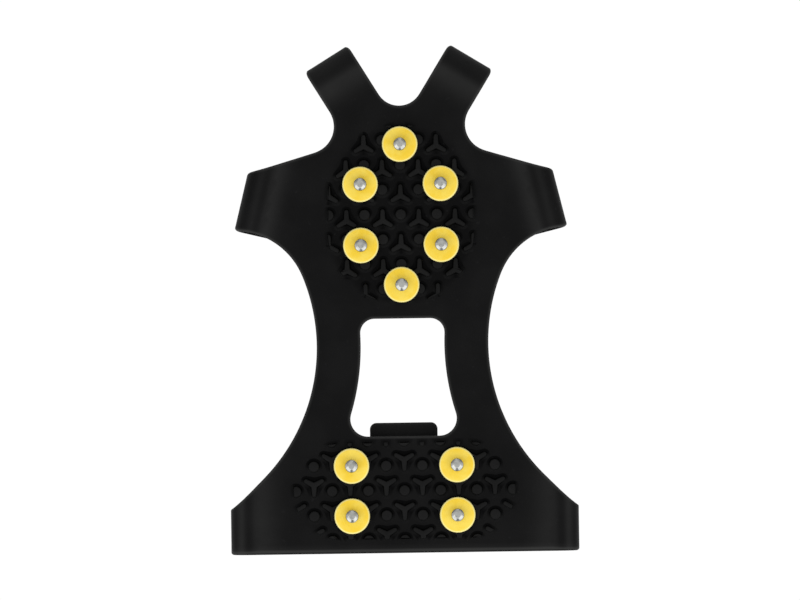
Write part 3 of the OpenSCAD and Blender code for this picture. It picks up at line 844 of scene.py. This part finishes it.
rooted = smooth((tabRoot + tab["rootStart"] - tabLoop[:, 1]) / tab["rootFade"])
tabEdge = between(sole["edgeRound"], earBand["bead"], rooted)
tabRuns = [{"path": tabLoop, "top": tabEdge, "low": tabEdge, "flatRing": tab["flatRing"]}]
# Painted highlight on the tab's rims, above and below
tabPaintedHighlight = tab["paintedRim"] * (edgePaintedHighlight + edgePaintedHighlight[::-1])
tabPoints, tabFaces, tabPaintedLight = slab(tabRuns, halfStrap, closed=True, paintedRim=tabPaintedHighlight, thick=sole["strapThick"])
# Painted light on the tab, which lies in the plate's shadow, growing paler towards its free end
towardTip = smooth((tabPoints[:, 1] - tabRoot) / tab["length"])
tabPaintedTipLight = between(tab["paintedLightRoot"], tab["paintedLightTip"], towardTip)
pullTab = pieceFrom("pullTab", (tabPoints, tabFaces, tabPaintedLight + tabPaintedTipLight), blackRubber)
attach(pullTab, "pull_tab")
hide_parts("pull_tab")
print("harness, band and tab made")


# Tread: dots and three-armed stars, cut off at a round-ended zone, and a boss under each stud

tread = {"pitch": 15.3, "row": 10.5, "armLength": 4.9, "armHalf": 0.95, "dot": 2.3, "starBack": 2.5,
         "boss": 7.0, "bossLap": 0.6, "fillet": 1.45, "leastArea": 0.9, "leastStep": 0.08, "mitre": 0.7,
         "heelSideShade": 0.05, "toeSideShade": 1.55, "cornerShade": 1.6, "cutShade": 0.4, "shadeTurn": 0.8,
         "hollowSine": -0.3, "webReach": 1.6, "slim": 1.4, "cutShare": 0.999, "sharp": 50}
armTurns = (90, 210, 330)  # headings of a star's arms, the stem first
# Outward offset, height and painted light of a lug's wall: painted shade on the fillet at the foot, a painted
# highlight on the round top edge
lugWall = np.array([
    [1.7, -0.06, -0.35], [1.1, 0.02, -0.62], [0.6, 0.06, -0.9], [0.24, 0.16, -1], [0.04, 0.5, -1],
    [-0.03, 1.1, -0.3], [-0.16, 1.38, 0.08], [-0.5, 1.5, 0.13]])


def capsule(turn):  # one arm of a star, from the middle out
    half, end = tread["armHalf"], tread["armLength"] - tread["armHalf"]
    at = np.radians(np.linspace(-90, 90, detail["armTip"]))
    tip = np.stack([end + half * np.cos(at), half * np.sin(at)], 1)
    arm = joined([tip, [[0, half], [0, -half]]])
    return arm @ np.array([heading(turn), leftOf(heading(turn))])


def star():  # three arms, with a fillet in each corner
    cornerOut = tread["armHalf"] * tread["fillet"]
    arms = []
    for turn in armTurns:
        arms += [capsule(turn)[:detail["armTip"]], [heading(turn + 60) * cornerOut]]
    return joined(arms)


def cutTo(outline, zone):  # keeps what lies inside a convex zone, one zone edge at a time
    for a, b in zip(zone, np.roll(zone, -1, axis=0)):
        side = (b - a)[0] * (outline - a)[:, 1] - (b - a)[1] * (outline - a)[:, 0]
        if (side >= 0).all():
            continue
        ahead, sideAhead = np.roll(outline, -1, axis=0), np.roll(side, -1)
        share = side / np.where(side == sideAhead, 1, side - sideAhead)
        meet = outline + share[:, None] * (ahead - outline)
        pairs = np.stack([outline, meet], 1).reshape(-1, 2)
        keep = np.stack([side >= 0, (side >= 0) != (sideAhead >= 0)], 1).ravel()
        outline = pairs[keep]
        if len(outline) < 3:
            return outline[:0]
    return outline


def areaOf(outline):
    ahead = np.roll(outline, -1, axis=0)
    return 0.5 * np.sum(outline[:, 0] * ahead[:, 1] - outline[:, 1] * ahead[:, 0])


def tidyOutline(outline):  # drops points that lie too close to the one before
    return outline[lengths(outline - np.roll(outline, 1, axis=0)) > tread["leastStep"]]


def outwards(outline):  # mitred normals of a counter-clockwise outline
    normal = rightOf(np.roll(outline, -1, axis=0) - outline)
    both = normal + np.roll(normal, 1, axis=0)
    return both / np.maximum(tread["mitre"], (both ** 2).sum(1) / 2)[:, None]


def raised(outline, wall, foot, cut):  # a wall profile carried round an outline
    normal = outwards(outline)
    edge = np.roll(outline, -1, axis=0) - outline
    length = lengths(edge)
    ahead = edge / length[:, None]
    behind = np.roll(ahead, 1, axis=0)
    hollow = behind[:, 0] * ahead[:, 1] - behind[:, 1] * ahead[:, 0] < tread["hollowSine"]
    # Painted shadow: darker on a lug's toe side, where its shadow falls, and in its hollow corners, lighter
    # where the zone's edge cuts it
    toToe = smooth((normal[:, 1] / tread["shadeTurn"] + 1) / 2)
    paintedShade = between(tread["heelSideShade"], tread["toeSideShade"], toToe)
    paintedShade = np.where(cut, np.minimum(paintedShade, tread["cutShade"]), paintedShade)
    paintedShade = np.where(hollow, np.maximum(paintedShade, tread["cornerShade"]), paintedShade)
    slim = min(1, 2 * areaOf(outline) / length.sum() / tread["slim"])  # a slim lug's top is inset less
    reach = wall[:, :1] * np.where(wall[:, :1] < 0, slim, np.where(hollow, tread["webReach"], 1))
    ring = outline + reach[:, :, None] * normal
    tone = wall[:, 2:]
    pale = np.where(tone < 0, np.maximum(tone * paintedShade, -1), tone)
    return *stacked(ring, foot + wall[:, 1:2]), pale.ravel()


def lugsFor(centre, facing, width, length, studs):
    endRound = min(width, length) / 2
    core = xy(width / 2 - endRound, length / 2 - endRound)
    ends = circle(endRound, detail["zone"])
    zone = ends + np.where(ends >= 0, 1, -1) * core
    columns, rows = math.ceil(width / tread["pitch"]), math.ceil(length / 2 / tread["row"])
    outlines = []
    for row in range(-rows, rows + 1):
        for column in range(-columns, columns + 1):
            at = xy(column * tread["pitch"] / 2, row * tread["row"])
            if (row + column) % 2 == 0:
                shapes = [circle(tread["dot"], detail["dot"]) + at]
            else:
                at = at - [0, tread["starBack"]]
                whole = inside(at[None], zone)[0]
                shapes = [star() + at] if whole else [capsule(turn) + at for turn in armTurns]
            outlines += [cutTo(shape, zone) for shape in shapes]
    lugs = []
    for outline in outlines:
        if len(outline) > 2 and areaOf(outline) > tread["leastArea"]:
            outline = tidyOutline(outline) * facing + centre
            farthest = np.linalg.norm(outline[None] - studs[:, None], axis=2).max(1)
            if farthest.min() >= tread["boss"] - tread["bossLap"]:  # else a boss hides it
                lugs.append(outline)
    lugs += [circle(tread["boss"], detail["boss"]) + place for place in studs]
    allPoints, allFaces, allPaintedLight, shift = [], [], [], 0
    for outline in lugs:
        cut = ~inside((outline - centre) * facing, zone * tread["cutShare"])
        points, faces, pale = raised(outline, lugWall, sole["plateTop"], cut)
        allPoints.append(points)
        allPaintedLight.append(pale)
        allFaces += [[i + shift for i in face] for face in faces]
        shift += len(points)
    return joined(allPoints), allFaces, joined(allPaintedLight)


foreSkin = lugsFor(ringC, 1, *sole["foreTread"], foreStuds)
heelSkin = lugsFor(heelC, -1, *sole["heelTread"], heelStuds)
foreLugs = pieceFrom("foreLugs", foreSkin, blackRubber, tread["sharp"])
heelLugs = pieceFrom("heelLugs", heelSkin, blackRubber, tread["sharp"])
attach(foreLugs, "forefoot")
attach(heelLugs, "heel")
print("tread lugs:", len(foreLugs.data.polygons) + len(heelLugs.data.polygons), "faces")


# Turned pieces: a radius and height profile carried round each stud's axis

def turnedPiece(name, profile, centre, closedRing, finish, sharp):
    count = detail["turned"]
    rings = profile[:, None, :1] * circle(1.0, count) + centre
    piece = pieceFrom(name, stacked(rings, profile[:, 1:], closedRing), finish, sharp)
    corner = np.zeros(len(piece.data.loops), np.int32)
    piece.data.loops.foreach_get("vertex_index", corner)
    # Each corner's share of a turn, and its way along the profile
    uv = np.column_stack([corner % count / count, runOf(profile)[corner // count]])
    piece.data.uv_layers.new(name="turned").data.foreach_set("uv", uv.astype(np.float32).ravel())
    return piece


studShape = np.array([
    [0.05, 11.0], [2.1, 11.0], [2.26, 11.06], [2.28, 11.14], [1.66, 11.68], [1.6, 11.8], [1.6, 17.7],
    [2.5, 17.7], [2.66, 17.78], [2.7, 17.95], [2.7, 20.85], [2.68, 21.05], [2.61, 21.22], [2.48, 21.36],
    [2.25, 21.5], [1.95, 21.66], [1.65, 21.82], [1.42, 21.92], [1.2, 21.98], [1.0, 22.0], [0.05, 22.0]])
washerShape = np.array([
    [1.66, 15.5], [7.05, 15.5], [7.3, 15.56], [7.46, 15.74], [7.5, 16.0], [7.5, 16.55], [7.46, 16.76],
    [7.36, 17.02], [7.2, 17.25], [6.95, 17.41], [6.6, 17.5], [6.1, 17.55], [5.0, 17.61], [4.0, 17.66],
    [3.4, 17.69], [2.9, 17.7], [1.66, 17.7]])
backingShape = np.array([
    [2.36, 11.0], [5.2, 11.0], [5.42, 11.06], [5.5, 11.2], [5.5, 11.86], [5.4, 12.0], [1.68, 12.0],
    [1.68, 11.74]])

for body, group, places in (("forefoot", "fore", foreStuds), ("heel", "heel", heelStuds)):
    for number, place in enumerate(places, 1):
        for kind, label, shape, ringed, finish, sharp in (
                ("stud", "Stud", studShape, False, studNickel, 32),
                ("grip_washer", "GripWasher", washerShape, True, gripYellow, 50),
                ("backing_washer", "BackingWasher", backingShape, True, backingSteel, 40)):
            piece = turnedPiece(f"{group}{label}{number}", shape, place, ringed, finish, sharp)
            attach(piece, body)
            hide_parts(f"{group}_{kind}_{number}")
print("studs and washers turned:", 3 * (len(foreStuds) + len(heelStuds)))


# Stage: a pale floor that sends light back up but that the camera looks through, so that what swings below
# it still shows, two soft boxes on the near side, and grey cards that darken parts of the studs' bevels
stage = {"floorWhite": 0.8, "white": 1.02, "ambient": 0.68, "boxPower": 6.2,
         "boxSize": 1.3, "boxes": ((-0.72, -0.72, 0.9), (0.72, -0.72, 0.9)), "boxAim": (0, 0, 0.01),
         "cardTone": 0.4, "cards": ((-0.9, 0.9, 1.3, 0.9), (0.9, 0.9, 1.3, 0.9), (0.0, -1.0, 0.5, 1.6)),
         "floorHalf": 4.0, "floorHeight": -0.0003}


def seenRays(finish):  # 1 for what the camera sees, straight, mirrored or through glass
    camera = finish.node("ShaderNodeLightPath", out="Is Camera Ray")
    glossy = finish.node("ShaderNodeLightPath", out="Is Glossy Ray")
    through = finish.node("ShaderNodeLightPath", out="Is Transmission Ray")
    return camera.sum("MAXIMUM", camera.sum("MAXIMUM", camera, glossy), through)


def floorFinish():
    finish = Finish("paleFloor")
    matte = finish.matte(stage["floorWhite"])
    clear = finish.node("ShaderNodeBsdfTransparent")
    sockets = {0: seenRays(finish), 1: matte, 2: clear}
    return finish.surfaced(finish.node("ShaderNodeMixShader", None, sockets))


def cardFinish():
    finish = Finish("greyCard")
    return finish.surfaced(finish.matte(stage["cardTone"]))


def stageSheet(name, corners, material):
    sheet = newObject(name, meshOf(name, corners, [(0, 1, 2, 3)], material))
    return sheet


far, floorZ = stage["floorHalf"], stage["floorHeight"]
floorCorners = [(-far, -far, floorZ), (far, -far, floorZ), (far, far, floorZ), (-far, far, floorZ)]
stageSheet("floor", floorCorners, floorFinish())
greyCard = cardFinish()
for number, (x, y, width, height) in enumerate(stage["cards"], 1):  # upright, for reflections alone
    middle = xy(x, y)
    a = middle - leftOf(middle) / np.linalg.norm(middle) * width / 2
    b = 2 * middle - a
    card = stageSheet(f"greyCard{number}", [(*a, 0), (*b, 0), (*b, height), (*a, height)], greyCard)
    card.visible_camera = card.visible_diffuse = card.visible_shadow = card.visible_transmission = False

world = bpy.data.worlds.new("plainWorld")
bpy.context.scene.world = world
sky = Finish("plainWorld", world)
skyStrength = seenRays(sky) * (stage["white"] - stage["ambient"]) + stage["ambient"]
skyLight = sky.node("ShaderNodeBackground", None, {"Color": (1, 1, 1, 1), "Strength": skyStrength})
sky.node("ShaderNodeOutputWorld", None, {"Surface": skyLight})

for label, where in zip(("nearLeftBox", "nearRightBox"), stage["boxes"]):
    lamp = bpy.data.lights.new(label, "AREA")
    lamp.shape = "SQUARE"
    lamp.size = stage["boxSize"]
    lamp.energy = stage["boxPower"]
    box = newObject(label, lamp)
    box.location = where
    box.rotation_euler = (Vector(stage["boxAim"]) - Vector(where)).to_track_quat("-Z", "Y").to_euler()

# Camera straight above; a pixel of the frame, 800 wide, is 0.4225 mm at the washers' height
view = {"height": 4.0, "pixel": 0.4225, "halfFrame": 400, "washerHeight": 17.0, "roll": -0.816,
        "centre": (-0.8, -0.55)}
lens = bpy.data.cameras.new("overhead")
lens.sensor_fit = "HORIZONTAL"
above = view["height"] - view["washerHeight"] * mm
lens.angle = 2 * math.atan(view["halfFrame"] * view["pixel"] * mm / above)
overhead = newObject("overhead", lens)
overhead.location = (view["centre"][0] * mm, view["centre"][1] * mm, view["height"])
overhead.rotation_euler = (0, 0, math.radians(view["roll"]))
bpy.context.scene.camera = overhead
bpy.context.scene.view_settings.view_transform = "Standard"
print("stage set")

bpy.context.view_layer.update()
